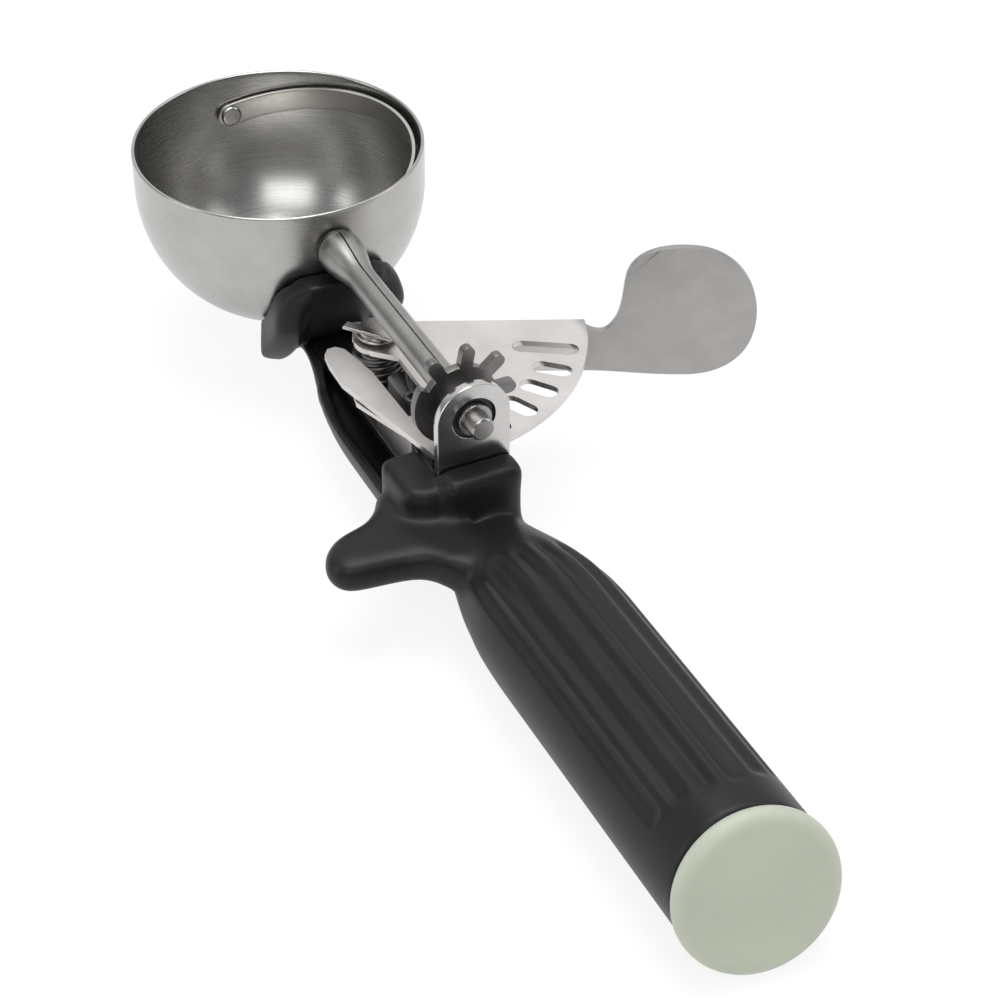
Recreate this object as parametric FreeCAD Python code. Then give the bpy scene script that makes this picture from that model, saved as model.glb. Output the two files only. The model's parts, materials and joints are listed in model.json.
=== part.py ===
"""Lever ice cream scoop (thumb-press disher).

Millimetres. The origin is the centre of the bowl's ball, on the scraper's
axis. +Y points out of the front of the bowl, +Z out of its mouth and +X to
the side the thumb lever is on.
"""
import FreeCAD
import Part
import math
import os

os.makedirs("parts", exist_ok=True)

V = FreeCAD.Vector
X_AXIS = V(1, 0, 0)
Y_AXIS = V(0, 1, 0)
Z_AXIS = V(0, 0, 1)

# Fits
run_gap = 0.05
free_gap = 0.3

# Bowl
bowl_r = 35.0
bowl_wall = 0.9
bowl_in_r = bowl_r - bowl_wall
bowl_rim_z = 10.0

# Scraper blade
blade_gap = 0.4
blade_t = 0.6
blade_w = 6.2
blade_r = bowl_in_r - blade_gap
blade_rest_deg = 9.5

# Scraper shaft and its tube
shaft_r = 2.7
shaft_neck_r = 1.9
shaft_head_r = 2.9
shaft_head_t = 0.8
shaft_tail_y = -112.4
tube_t = 0.6
tube_r = shaft_r + tube_t
flare_r = 4.8
flare_y = -37.6
flare_start_y = -50.0
tube_front_y = -36.4
seam_w = 0.4

# Far pivot
rivet_r = 1.6
rivet_head_r = 2.6
rivet_head_t = 1.1

# Pinion and its rack of slots
pinion_y = -100.0
pinion_t = 2.0
pinion_step = 40.0
pinion_first = -80.0
pinion_teeth = 6
pinion_root_r = 8.6
tooth_w = 3.0
tooth_tip_r = 13.3
lobe_r = 10.7
lobe_from = 148.0
lobe_to = 238.0
mesh_ratio = 40.0 / 11.0

# Thumb lever
pivot_y = -57.0
mesh_r = pivot_y - pinion_y
plate_t = 1.4
plate_mid_z = -mesh_r / mesh_ratio
plate_top_z = plate_mid_z + plate_t / 2
plate_low_z = plate_mid_z - plate_t / 2
sector_r = 48.0
slot_step = pinion_step / mesh_ratio
slot_first = -90.0 + (pinion_first + 90.0) / mesh_ratio
slot_count = 6
slot_half_w = 2.2
slot_in_r = 36.8
slot_out_r = 46.1
long_slot_in_r = 30.8
lever_deg = -24.7
web_off = 6.1
web_t = 1.5
web_low_z = -24.6
hub_r = 5.6
hub_bore_r = 3.1

# Lever pivot
pin_r = 2.5
pin_head_r = 4.2
pin_head_t = 1.2
bush_flange_r = 4.8

# Steel shank under the mechanism
shank_t = 1.8
shank_top_z = -26.2
shank_half_w = 7.0
tang_half_w = 5.0
tang_end_y = -192.0
strap_t = 1.6
strap_top_z = -9.0

# Rear bracket
bracket_t = 2.0
bracket_y = -107.7
arch_r = 8.5
bracket_hole_r = 5.0
collar_r = 3.8

# Handle
arm_r = 15.0
arm_axis_z = -27.0
arm_top_z = -26.6
arm_wall = 2.4
arm_floor_z = -34.0
arm_front_y = -22.0
trough_front_y = -41.5
grip_r = 16.2
grip_start = V(0, -118.0, -29.1)
grip_end = V(0, -226.0, -27.75)
neck_radii = [9.6, 10.8, 12.6, 14.4, 15.7, 16.2]
neck_steps = [-12.0, 0.0, 7.0, 15.0, 23.0, 31.0]
neck_drops = [3.0, 2.4, 1.9, 1.1, 0.4, 0.0]
tower_front_y = pivot_y - sector_r - 0.4
tower_back_y = -114.5
tower_top_z = -11.2
tower_round = 2.4
tower_half_w = 9.1
flute_count = 6
flute_step = 21.0
flute_r = 2.6
flute_lift = 1.7
flute_start = 10.0
flute_end_y = -213.5
cap_tilt = 19.0
cap_turn = -7.0
cap_r = 17.0
cap_t = 3.6
cap_edge = 2.6
spigot_r = 8.8
spigot_len = 7.0


def solid(shape):
    """The single solid inside a boolean result."""
    return shape.removeSplitter().Solids[0]


def box(x0, x1, y0, y1, z0, z1):
    """Box between two corners."""
    return Part.makeBox(x1 - x0, y1 - y0, z1 - z0, V(x0, y0, z0))


def rod_y(r, y0, y1, x=0.0, z=0.0):
    """Cylinder along Y from y0 to y1."""
    return Part.makeCylinder(r, y1 - y0, V(x, y0, z), Y_AXIS)


def rod_z(r, z0, z1, x=0.0, y=0.0):
    """Cylinder along Z from z0 to z1."""
    return Part.makeCylinder(r, z1 - z0, V(x, y, z0), Z_AXIS)


def ring_y(r_in, r_out, y0, y1):
    """Tube along Y."""
    return rod_y(r_out, y0, y1).cut(rod_y(r_in, y0 - 1, y1 + 1))


def ring_z(r_in, r_out, z0, z1, x=0.0, y=0.0):
    """Tube along Z."""
    return rod_z(r_out, z0, z1, x, y).cut(rod_z(r_in, z0 - 1, z1 + 1, x, y))


def prism_z(points, z0, z1):
    """Upright prism over a polygon of (x, y) points."""
    loop = [V(p[0], p[1], z0) for p in points]
    face = Part.Face(Part.makePolygon(loop + [loop[0]]))
    return face.extrude(V(0, 0, z1 - z0))


def rounded_box(x0, x1, y0, y1, z0, z1, r):
    """Box with every edge rounded."""
    block = box(x0, x1, y0, y1, z0, z1)
    return block.makeFillet(r, block.Edges)


def save(name, shape):
    """Write one named piece and print its volume."""
    if not shape.isValid():
        raise ValueError(name + " is not valid")
    shape.exportStep("parts/" + name + ".step")
    print(name, round(shape.Volume, 2), len(shape.Solids))


# Bowl: a half ball with a short straight wall above it
def make_bowl():
    lip = bowl_wall / 2
    outer_arc = Part.Arc(V(0, 0, -bowl_r), V(bowl_r * 0.6, 0, -bowl_r * 0.8), V(bowl_r, 0, 0))
    inner_arc = Part.Arc(V(bowl_in_r, 0, 0), V(bowl_in_r * 0.6, 0, -bowl_in_r * 0.8), V(0, 0, -bowl_in_r))
    lip_z = bowl_rim_z - lip
    rim = Part.Arc(V(bowl_r, 0, lip_z), V(bowl_r - lip, 0, bowl_rim_z), V(bowl_in_r, 0, lip_z))
    edges = [
        outer_arc.toShape(),
        Part.makeLine(V(bowl_r, 0, 0), V(bowl_r, 0, bowl_rim_z - lip)),
        rim.toShape(),
        Part.makeLine(V(bowl_in_r, 0, bowl_rim_z - lip), V(bowl_in_r, 0, 0)),
        inner_arc.toShape(),
        Part.makeLine(V(0, 0, -bowl_in_r), V(0, 0, -bowl_r)),
    ]
    shell = Part.Face(Part.Wire(edges)).revolve(V(0, 0, 0), Z_AXIS, 360)
    shell = shell.cut(rod_y(rivet_r, bowl_in_r - 3, bowl_r + 1))
    shell = shell.cut(rod_y(near_bush_r, -bowl_r - 1, -bowl_in_r + 3))
    return solid(shell)


near_bush_r = 4.0
near_flange_r = 4.7
near_flange_t = 0.6

bowl = make_bowl()
save("bowl", bowl)

# Near bush: carries the shaft where it passes through the bowl wall
near_bush = rod_y(near_bush_r, -bowl_r - near_flange_t, -blade_r - 0.15)
near_bush = near_bush.fuse(rod_y(near_flange_r, -bowl_r - near_flange_t, -bowl_r))
near_bush = near_bush.cut(rod_y(shaft_r + run_gap, -bowl_r - 5, -bowl_r + 5))
save("near_bush", solid(near_bush))

# Far pivot rivet and the thin washer under the blade
inner_y = blade_r - blade_t - 0.25
far_rivet = rod_y(rivet_r, inner_y, bowl_r + 0.05)
far_rivet = far_rivet.fuse(rod_y(rivet_head_r, inner_y - rivet_head_t, inner_y))
far_rivet = far_rivet.fuse(rod_y(rivet_head_r + 0.6, bowl_r, bowl_r + rivet_head_t))
far_rivet = solid(far_rivet)
head_rims = [e for e in far_rivet.Edges if abs(e.BoundBox.YMax - e.BoundBox.YMin) < 1e-6]
inner_rim = [e for e in head_rims if abs(e.BoundBox.YMax - far_rivet.BoundBox.YMin) < 1e-6]
outer_rim = [e for e in head_rims if abs(e.BoundBox.YMax - far_rivet.BoundBox.YMax) < 1e-6]
save("far_rivet", far_rivet.makeFillet(0.6, inner_rim + outer_rim))
save("far_washer", ring_y(rivet_r, rivet_head_r, blade_r + 0.05, blade_r + 0.25))


# Scraper: half a hoop of flat strip with a round tab at each end
def make_scraper():
    half = blade_w / 2
    hoop = rod_z(blade_r, -half, half).cut(rod_z(blade_r - blade_t, -half - 1, half + 1))
    hoop = hoop.cut(box(-blade_r - 1, 0, -blade_r - 1, blade_r + 1, -half - 1, half + 1))
    far_tab = rod_y(half, blade_r - blade_t, blade_r)
    near_tab = rod_y(half, -blade_r, -blade_r + blade_t)
    strip = hoop.fuse([far_tab, near_tab])
    strip = strip.cut(rod_y(rivet_r + run_gap, blade_r - 3, blade_r + 3))
    strip = strip.cut(rod_y(shaft_neck_r, -blade_r - 3, -blade_r + 3))
    strip.rotate(V(0, 0, 0), Y_AXIS, -blade_rest_deg)
    return solid(strip)


save("scraper", make_scraper())

# Scraper shaft: peened to the blade in front, bare pin behind
shaft = rod_y(shaft_r, shaft_tail_y, -blade_r)
head_y = -blade_r + blade_t + 0.2
shaft = shaft.fuse(rod_y(shaft_neck_r, -blade_r, head_y))
shaft = shaft.fuse(rod_y(shaft_head_r, head_y, head_y + shaft_head_t))
shaft = solid(shaft)
tail = [e for e in shaft.Edges if abs(e.BoundBox.YMax - shaft_tail_y) < 1e-6]
save("scraper_shaft", shaft.makeChamfer(0.4, tail))


# Shaft tube: rolled from sheet, so it has an open seam and a flared mouth
def make_tube():
    rear_y = pinion_y + pinion_t / 2 + 0.05
    body = rod_y(tube_r, rear_y, flare_start_y)
    cone = Part.makeCone(tube_r, flare_r, flare_y - flare_start_y, V(0, flare_start_y, 0), Y_AXIS)
    mouth = rod_y(flare_r, flare_y, tube_front_y)
    outer = body.fuse([cone, mouth])
    hole = rod_y(shaft_r, rear_y - 1, flare_start_y)
    flare_len = flare_y - flare_start_y
    hole_cone = Part.makeCone(shaft_r, flare_r - tube_t, flare_len, V(0, flare_start_y, 0), Y_AXIS)
    hole_mouth = rod_y(flare_r - tube_t, flare_y, tube_front_y + 1)
    tube = outer.cut(hole.fuse([hole_cone, hole_mouth]))
    tube = tube.cut(box(-seam_w / 2, seam_w / 2, rear_y - 1, tube_front_y + 1, shaft_r - 1.5, flare_r + 1))
    return solid(tube)


save("shaft_tube", make_tube())


# Pinion: stamped plate, finger teeth on one side and a plain lobe on the other
def make_pinion():
    y0 = pinion_y - pinion_t / 2
    y1 = pinion_y + pinion_t / 2
    body = rod_y(pinion_root_r, y0, y1)
    nose_r = tooth_tip_r - tooth_w / 2
    teeth = []
    for i in range(pinion_teeth):
        finger = box(0, nose_r, y0, y1, -tooth_w / 2, tooth_w / 2)
        finger = finger.fuse(rod_y(tooth_w / 2, y0, y1, nose_r, 0))
        finger.rotate(V(0, 0, 0), Y_AXIS, -(pinion_first + i * pinion_step))
        teeth.append(finger)
    body = body.fuse(teeth)
    lobe = Part.makeCylinder(lobe_r, pinion_t, V(0, y0, 0), Y_AXIS, lobe_to - lobe_from)
    start = math.degrees(math.atan2(lobe.CenterOfMass.z, lobe.CenterOfMass.x))
    middle = (lobe_from + lobe_to) / 2
    lobe.rotate(V(0, 0, 0), Y_AXIS, start - middle)
    body = body.fuse(lobe)
    body = body.cut(rod_y(shaft_r, y0 - 1, y1 + 1))
    return solid(body)


pinion = make_pinion()
save("pinion", pinion)

# Collar: the shoulder on the shaft that runs in the rear bracket
collar_front_y = pinion_y - pinion_t / 2 - 0.05
save("shaft_collar", ring_y(shaft_r, collar_r, bracket_y - 0.9, collar_front_y))


# Thumb lever: one stamping, sector with slots, web bent down, thumb pad
def make_lever():
    disc = rod_z(sector_r, plate_low_z, plate_top_z)
    beyond = box(-100, 100, web_off, 100, plate_low_z - 1, plate_top_z + 1)
    beyond.rotate(V(0, 0, 0), Z_AXIS, lever_deg)
    keep = [
        (-6.9, -60), (-6.9, -46), (-14.4, -13), (-14.2, -5), (-13.6, -1.2), (-12.2, 0.6),
        (-10.2, 0.6), (-8.7, -1), (-7.6, -6), (-6.6, -12), (-6.2, -30.5), (0.8, -30.5),
        (1.0, -9), (-3.4, -4.8), (-5.4, -1.5), (-5.2, 2.6), (-2.5, 8), (2, 14), (60, 14), (60, -60),
    ]
    plate = disc.cut(beyond).common(prism_z(keep, plate_low_z, plate_top_z))
    plate = plate.fuse(rod_z(hub_r, plate_low_z, plate_top_z).cut(beyond))
    slots = []
    for k in range(slot_count):
        inner = long_slot_in_r if k == slot_count - 1 else slot_in_r
        r0 = inner + slot_half_w
        r1 = slot_out_r - slot_half_w
        cutter = box(r0, r1, -slot_half_w, slot_half_w, plate_low_z - 1, plate_top_z + 1)
        cutter = cutter.fuse(rod_z(slot_half_w, plate_low_z - 1, plate_top_z + 1, r0))
        cutter = cutter.fuse(rod_z(slot_half_w, plate_low_z - 1, plate_top_z + 1, r1))
        cutter.rotate(V(0, 0, 0), Z_AXIS, slot_first + k * slot_step)
        slots.append(cutter)
    for cutter in slots:
        plate = plate.cut(cutter)
    web = make_web()
    web.rotate(V(0, 0, 0), Z_AXIS, lever_deg)
    lever = plate.fuse(web)
    lever = lever.cut(rod_z(hub_bore_r, plate_low_z - 1, plate_top_z + 1))
    lever.translate(V(0, pivot_y, 0))
    return solid(lever)


def make_web():
    """Web, arm and thumb pad: one flat outline in X and Z, bent at its top."""
    y = web_off - web_t
    pad = [
        (47.0, -11.6), (49.3, -13.1), (51.9, -13.4), (53.9, -11.7), (55.7, -7.0), (56.4, -1.2), (57.2, 2.9),
        (59.8, 6.4), (64.3, 8.5), (69.3, 9.0), (75.0, 8.3), (80.6, 5.3), (85.0, -0.2), (86.9, -6.0),
        (87.0, -13.2), (85.0, -19.3), (80.9, -23.6), (75.8, -25.7), (69.5, -26.1), (61.2, -25.6),
        (47.0, web_low_z),
    ]
    curve = Part.BSplineCurve()
    curve.interpolate([V(p[0], y, p[1]) for p in pad])
    rest = [pad[-1], (20.0, web_low_z), (13.0, -19.0), (7.0, -19.0), (5.0, -17.0), (5.0, plate_top_z),
            (46.6, plate_top_z), pad[0]]
    edges = [curve.toShape()]
    for a, b in zip(rest[:-1], rest[1:]):
        edges.append(Part.makeLine(V(a[0], y, a[1]), V(b[0], y, b[1])))
    face = Part.Face(Part.Wire(edges))
    return face.extrude(V(0, web_t, 0))


lever = make_lever()
save("thumb_lever", lever)

# Lever bush: pressed in the lever's hub, turns on the pivot pin
bush_low_z = plate_low_z - 0.8
bush_top_z = plate_top_z + 0.9
lever_bush = rod_z(hub_bore_r, bush_low_z, bush_top_z, 0, pivot_y)
lever_bush = lever_bush.fuse(rod_z(bush_flange_r, bush_low_z, plate_low_z, 0, pivot_y))
lever_bush = lever_bush.cut(rod_z(pin_r + run_gap, bush_low_z - 1, bush_top_z + 1, 0, pivot_y))
save("lever_bush", solid(lever_bush))

# Pivot pin, its washer and its retaining clip
washer_t = 0.5
head_z = bush_top_z + 0.05 + washer_t
clip_t = 0.8
pivot_pin = rod_z(pin_r, shank_top_z - shank_t, head_z + 0.1, 0, pivot_y)
pivot_pin = pivot_pin.fuse(rod_z(pin_head_r, head_z, head_z + pin_head_t, 0, pivot_y))
save("pivot_pin", solid(pivot_pin))
save("pivot_washer", ring_z(pin_r, pin_head_r + 0.5, head_z - washer_t, head_z, 0, pivot_y))
clip = rounded_box(-6.2, 6.2, -1.3, 1.3, 0, clip_t, 0.3)
clip.rotate(V(0, 0, 0), Z_AXIS, -50.8)
clip.translate(V(-2.6, pivot_y - 1.2, head_z + pin_head_t))
save("pivot_clip", clip)

# Spacer between the shank and the lever
spacer_top_z = bush_low_z - 0.05
save("pivot_spacer", ring_z(pin_r, 3.9, shank_top_z, spacer_top_z, 0, pivot_y))


# Return spring: coil round the spacer, one leg to the shank, one eye to the lever
def make_spring():
    wire_r = 0.55
    coil_r = 5.4
    pitch = 1.85
    turns = 6
    low_z = shank_top_z + wire_r + 0.6
    helix = Part.makeHelix(pitch, pitch * turns, coil_r)
    profile = Part.Wire(Part.makeCircle(wire_r, V(coil_r, 0, 0), Y_AXIS))
    coil = Part.Wire(helix).makePipeShell([profile], True, True)
    coil.translate(V(0, 0, low_z))
    top_z = low_z + pitch * turns
    low_leg = Part.makeCylinder(wire_r, 9.0, V(coil_r, 0, low_z), V(0, -1, 0))
    leg_len = 20.5
    leg_dir = V(-0.30, -1.0, 0.0)
    leg_dir.normalize()
    high_leg = Part.makeCylinder(wire_r, leg_len, V(coil_r, 0, top_z), leg_dir)
    eye_r = 1.6
    eye_at = V(coil_r, 0, top_z) + leg_dir * (leg_len + eye_r)
    eye = Part.makeTorus(eye_r, wire_r, eye_at, Z_AXIS)
    spring = coil.fuse([low_leg, high_leg, eye])
    spring.translate(V(0, pivot_y, 0))
    return solid(spring)


save("return_spring", make_spring())

# Shank: one steel strip, formed to the bowl in front and run into the grip behind
ball_out = Part.makeSphere(bowl_r + strap_t)
ball_in = Part.makeSphere(bowl_r)
shank_low_z = shank_top_z - shank_t
strap_box = box(-shank_half_w, shank_half_w, -60, -10, shank_low_z, strap_top_z)
strap = ball_out.cut(ball_in).common(strap_box)
floor_front_y = -math.sqrt((bowl_r + strap_t) ** 2 - shank_top_z ** 2) + 1.0
floor_plate = box(-shank_half_w, shank_half_w, -108.5, floor_front_y, shank_top_z - shank_t, shank_top_z)
tang = box(-tang_half_w, tang_half_w, tang_end_y, -108.5, shank_top_z - shank_t, shank_top_z)
shank = strap.fuse([floor_plate, tang]).cut(ball_in)
shank = shank.cut(rod_z(pin_r, shank_top_z - shank_t - 1, shank_top_z + 1, 0, pivot_y))
rivet_spots = [(-4.0, -99.0), (4.0, -99.0)]
guide_spots = [(-4.1, -75.0), (-4.1, -87.0)]
small_rivet_r = 1.3
guide_rivet_r = 0.9
for spot in rivet_spots:
    shank = shank.cut(rod_z(small_rivet_r, shank_top_z - shank_t - 1, shank_top_z + 1, spot[0], spot[1]))
for spot in guide_spots:
    shank = shank.cut(rod_z(guide_rivet_r, shank_top_z - shank_t - 1, shank_top_z + 1, spot[0], spot[1]))
shank = solid(shank)
save("shank", shank)

# Rear bracket: arched plate with a foot riveted to the shank
foot_t = 1.8
foot_front_y = -94.0
bracket = rod_y(arch_r, bracket_y, bracket_y + bracket_t)
bracket = bracket.fuse(box(-arch_r, arch_r, bracket_y, bracket_y + bracket_t, shank_top_z, 0))
foot = box(-shank_half_w, shank_half_w, bracket_y, foot_front_y, shank_top_z, shank_top_z + foot_t)
bracket = bracket.fuse(foot)
bracket = bracket.cut(rod_y(bracket_hole_r, bracket_y - 1, bracket_y + bracket_t + 1))
for spot in rivet_spots:
    bracket = bracket.cut(rod_z(small_rivet_r, -40, 0, spot[0], spot[1]))
bracket = solid(bracket)
save("rear_bracket", bracket)
save("bracket_bush", ring_y(collar_r + run_gap, bracket_hole_r, bracket_y + 0.7, bracket_y + bracket_t))


def rivet_group(spots, r, low_z, top_z):
    """Identical upright rivets with a round head at each end."""
    rivets = []
    for spot in spots:
        body = rod_z(r, low_z, top_z, spot[0], spot[1])
        body = body.fuse(rod_z(r * 1.6, top_z, top_z + r * 0.6, spot[0], spot[1]))
        body = body.fuse(rod_z(r * 1.6, low_z - r * 0.6, low_z, spot[0], spot[1]))
        rivets.append(solid(body))
    return Part.makeCompound(rivets)


bracket_rivets = rivet_group(rivet_spots, small_rivet_r, shank_top_z - shank_t, shank_top_z + foot_t)
save("bracket_rivets", bracket_rivets)

# Stop block: folded steel box under the lever's window
block_top_z = plate_low_z - 2.5
block = rounded_box(-2.0, 4.0, -90.0, -66.3, shank_top_z, block_top_z, 0.8)
save("stop_block", block)

# Guide plate: flange beside the block that carries the lever's free edge
guide_t = 1.2
guide_top_z = plate_low_z - free_gap
guide_foot = box(-6.6, -2.3, -90.0, -71.0, shank_top_z, shank_top_z + guide_t)
guide_wall = box(-6.8, -6.8 + guide_t, -90.0, -71.0, shank_top_z, guide_top_z)
guide_top = prism_z([(-5.6, -91.0), (-8.6, -91.0), (-13.6, -76.0), (-12.4, -70.5), (-5.6, -70.5)],
                    guide_top_z - guide_t, guide_top_z)
guide = guide_foot.fuse([guide_wall, guide_top])
for spot in guide_spots:
    guide = guide.cut(rod_z(guide_rivet_r, -40, guide_top_z - guide_t - 0.5, spot[0], spot[1]))
save("guide_plate", solid(guide))
guide_rivets = rivet_group(guide_spots, guide_rivet_r, shank_top_z - shank_t, shank_top_z + guide_t)
save("guide_rivets", guide_rivets)


# Handle: saddle under the bowl, open arm, tower, finger wing and fluted grip
def arm_plan(inset, front_y, low_z, top_z):
    """Upright prism on the arm's outline from above: full width behind, drawn in to the bowl."""
    sides = [
        (15.0, -108.0), (15.0, -66.0), (14.0, -56.0), (12.2, -48.0),
        (9.8, -41.0), (8.2, -33.0), (8.0, front_y),
    ]
    near = [(x - inset, y) for x, y in sides if y <= front_y]
    points = near + [(-x, y) for x, y in reversed(near)]
    return prism_z(points, low_z, top_z)


def make_neck(grip_dir):
    """Shoulder of the grip: circles that grow and rise until they meet the grip."""
    rings = []
    for r, step, drop in zip(neck_radii, neck_steps, neck_drops):
        at = grip_start + grip_dir * step - Z_AXIS * drop
        rings.append(Part.Wire(Part.makeCircle(r, at, grip_dir)))
    return Part.makeLoft(rings, True, False)


def make_wing():
    """Finger wing: one flat lobe with its edges rounded to nearly a half circle."""
    outline = [
        (-6, -103), (-18.5, -99.5), (-22, -104.3), (-24.9, -106.8), (-28.1, -107.7), (-30.7, -108.1),
        (-33.5, -109.4), (-36, -111.6), (-37.7, -114.8), (-38, -117.6), (-37.2, -120.2), (-35.4, -122.2),
        (-31.4, -122.9), (-24.9, -123.6), (-20.7, -124.4), (-17.6, -125.6), (-15, -129),
        (-12, -133), (-4, -134),
    ]
    wing = prism_z(outline, -28.4, -19.9)
    level = [e for e in wing.Edges if e.BoundBox.ZLength < 1e-6 and e.BoundBox.XMin < -17.5]
    return wing.makeFillet(3.4, level)


def make_handle():
    grip_dir = grip_end - grip_start
    grip_dir.normalize()
    body_at = grip_start + grip_dir * neck_steps[-1]
    grip = Part.makeCylinder(grip_r, (grip_end - body_at).Length + 12.0, body_at, grip_dir)
    grip = grip.cut(Part.makeCylinder(40.0, 60.0, grip_end, cap_normal))
    saddle = rounded_box(-15.6, 15.6, -60.0, 0.0, -43.0, -6.0, 8.0)
    saddle = saddle.common(Part.makeSphere(bowl_r + 6.2)).cut(box(-30, 30, -20.0, 10, -60, 10))
    arm = rod_y(arm_r, -108.0, arm_front_y, 0, arm_axis_z)
    arm = arm.cut(box(-30, 30, -110, 10, arm_top_z, 10))
    arm = arm.common(arm_plan(0, arm_front_y, -60, 10))
    trough = rod_y(arm_r - arm_wall, -103.0, trough_front_y, 0, arm_axis_z)
    trough = trough.cut(box(-30, 30, -110, -30, -60, arm_floor_z))
    trough = trough.common(arm_plan(arm_wall, trough_front_y + 0.5, -60, 10))
    rails = box(-2.5, 2.5, -104.0, -40.0, arm_floor_z - 1, shank_top_z - shank_t)
    rails = rails.cut(box(-3, 3, -101.5, -96.5, -40, -20))
    rails = rails.cut(box(-3, 3, pivot_y - 4, pivot_y + 4, -30, -20))
    arm = arm.cut(trough).fuse(rails)
    tower = rounded_box(-tower_half_w, tower_half_w, tower_back_y, tower_front_y,
                        -40.0, tower_top_z, tower_round)
    step_top_z = plate_low_z - 0.9
    step = rounded_box(-17.0, -7.0, -112.0, -95.0, -38.0, step_top_z, 2.4)
    handle = grip.fuse(make_neck(grip_dir))
    for piece in (tower, step, make_wing(), arm, saddle):
        handle = handle.fuse(piece)
    handle = handle.cut(Part.makeSphere(bowl_r + 0.1))
    handle = handle.cut(strap_room)
    handle = handle.cut(rod_y(flare_r + 1.2, -60.0, -20.0)).cut(box(-6.0, 6.0, -60.0, -20.0, 0, 10))
    for piece in (shank, bracket_room, bracket_rivets, guide_rivets):
        handle = handle.cut(piece)
    up = X_AXIS.cross(grip_dir)
    if up.z < 0:
        up = up * -1.0
    for i in range(flute_count):
        off = i - (flute_count - 1) / 2
        turn = math.radians(off * flute_step)
        out = up * math.cos(turn) + X_AXIS * math.sin(turn)
        start = grip_start + grip_dir * (flute_start + 1.5 * abs(off)) + out * (grip_r + flute_lift)
        length = start.y - flute_end_y - 1.2 * abs(off)
        groove = Part.makeCylinder(flute_r, length, start, grip_dir)
        groove = groove.fuse(Part.makeSphere(flute_r, start))
        groove = groove.fuse(Part.makeSphere(flute_r, start + grip_dir * length))
        handle = handle.cut(groove)
    deep = spigot_len + 1.0
    socket_at = grip_end - cap_normal * deep
    handle = handle.cut(Part.makeCylinder(spigot_r + run_gap, deep, socket_at, cap_normal))
    return solid(handle)


tilt = math.radians(cap_tilt)
turn = math.radians(cap_turn)
cap_normal = V(math.sin(turn) * math.cos(tilt), -math.cos(turn) * math.cos(tilt), math.sin(tilt))
strap_room = ball_out.common(strap_box)
bracket_room = box(-arch_r, arch_r, bracket_y, bracket_y + bracket_t, shank_top_z, 0)
bracket_room = bracket_room.fuse(foot)
handle = make_handle()
save("handle", handle)

# End cap: low domed disc on a spigot, square to the slanted end of the grip
cap = Part.makeCylinder(cap_r, cap_t, grip_end, cap_normal)
far_at = grip_end + cap_normal * cap_t
rim_edges = [e for e in cap.Edges if e.CenterOfMass.distanceToPoint(far_at) < 1e-6]
cap = cap.makeFillet(cap_edge, rim_edges)
spigot = Part.makeCylinder(spigot_r, spigot_len, grip_end - cap_normal * spigot_len, cap_normal)
save("end_cap", solid(cap.fuse(spigot)))
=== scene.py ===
import math
import bpy
import bmesh
import json
import numpy as np
from mathutils import Matrix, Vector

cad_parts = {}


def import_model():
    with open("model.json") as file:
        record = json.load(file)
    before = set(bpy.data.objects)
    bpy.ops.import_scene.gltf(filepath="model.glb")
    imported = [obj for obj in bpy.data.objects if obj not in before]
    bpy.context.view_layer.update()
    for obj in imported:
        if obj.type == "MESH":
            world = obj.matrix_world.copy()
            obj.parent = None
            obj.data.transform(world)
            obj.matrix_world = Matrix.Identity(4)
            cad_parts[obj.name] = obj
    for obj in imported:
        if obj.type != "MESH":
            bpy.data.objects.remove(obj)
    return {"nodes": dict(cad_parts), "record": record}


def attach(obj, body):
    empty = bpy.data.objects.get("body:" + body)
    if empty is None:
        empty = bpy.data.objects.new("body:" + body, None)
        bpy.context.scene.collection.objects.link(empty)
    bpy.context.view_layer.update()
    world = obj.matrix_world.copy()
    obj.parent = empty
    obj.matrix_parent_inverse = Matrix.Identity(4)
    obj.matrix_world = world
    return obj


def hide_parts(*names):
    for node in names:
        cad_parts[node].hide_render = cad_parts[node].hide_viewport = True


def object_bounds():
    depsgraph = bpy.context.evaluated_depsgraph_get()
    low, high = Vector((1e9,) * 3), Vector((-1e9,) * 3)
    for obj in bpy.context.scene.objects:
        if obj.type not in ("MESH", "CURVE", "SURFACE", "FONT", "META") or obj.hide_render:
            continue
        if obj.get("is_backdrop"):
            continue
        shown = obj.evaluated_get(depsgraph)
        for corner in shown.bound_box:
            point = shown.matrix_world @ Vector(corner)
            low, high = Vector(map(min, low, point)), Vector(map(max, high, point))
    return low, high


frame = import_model()

bl_info = {
    "name": "Lever ice cream scoop",
    "version": (1, 0, 0),
    "blender": (4, 5, 0),
    "location": "View3D > Sidebar > Scoop",
    "description": "Dresses the packed scoop: steel bowl and mechanism, black fluted grip, grey end cap",
    "category": "Object",
}

MM = 0.001
TINY = 1e-6
FULL_TURN = 2 * math.pi
NODES = frame["nodes"]
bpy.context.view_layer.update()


# ---------------------------------------------------------------- mesh helpers
def skin(rows, cols, close_rows, close_cols):
    """Quads of a grid of rows by cols points, row-major, with either direction closed on itself."""
    r = np.arange(rows if close_rows else rows - 1)
    c = np.arange(cols if close_cols else cols - 1)
    rr, cc = np.meshgrid(r, c, indexing="ij")
    r2 = (rr + 1) % rows
    c2 = (cc + 1) % cols
    quads = np.stack([rr * cols + cc, rr * cols + c2, r2 * cols + c2, r2 * cols + cc], axis=-1)
    return quads.reshape(-1, 4)


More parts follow.
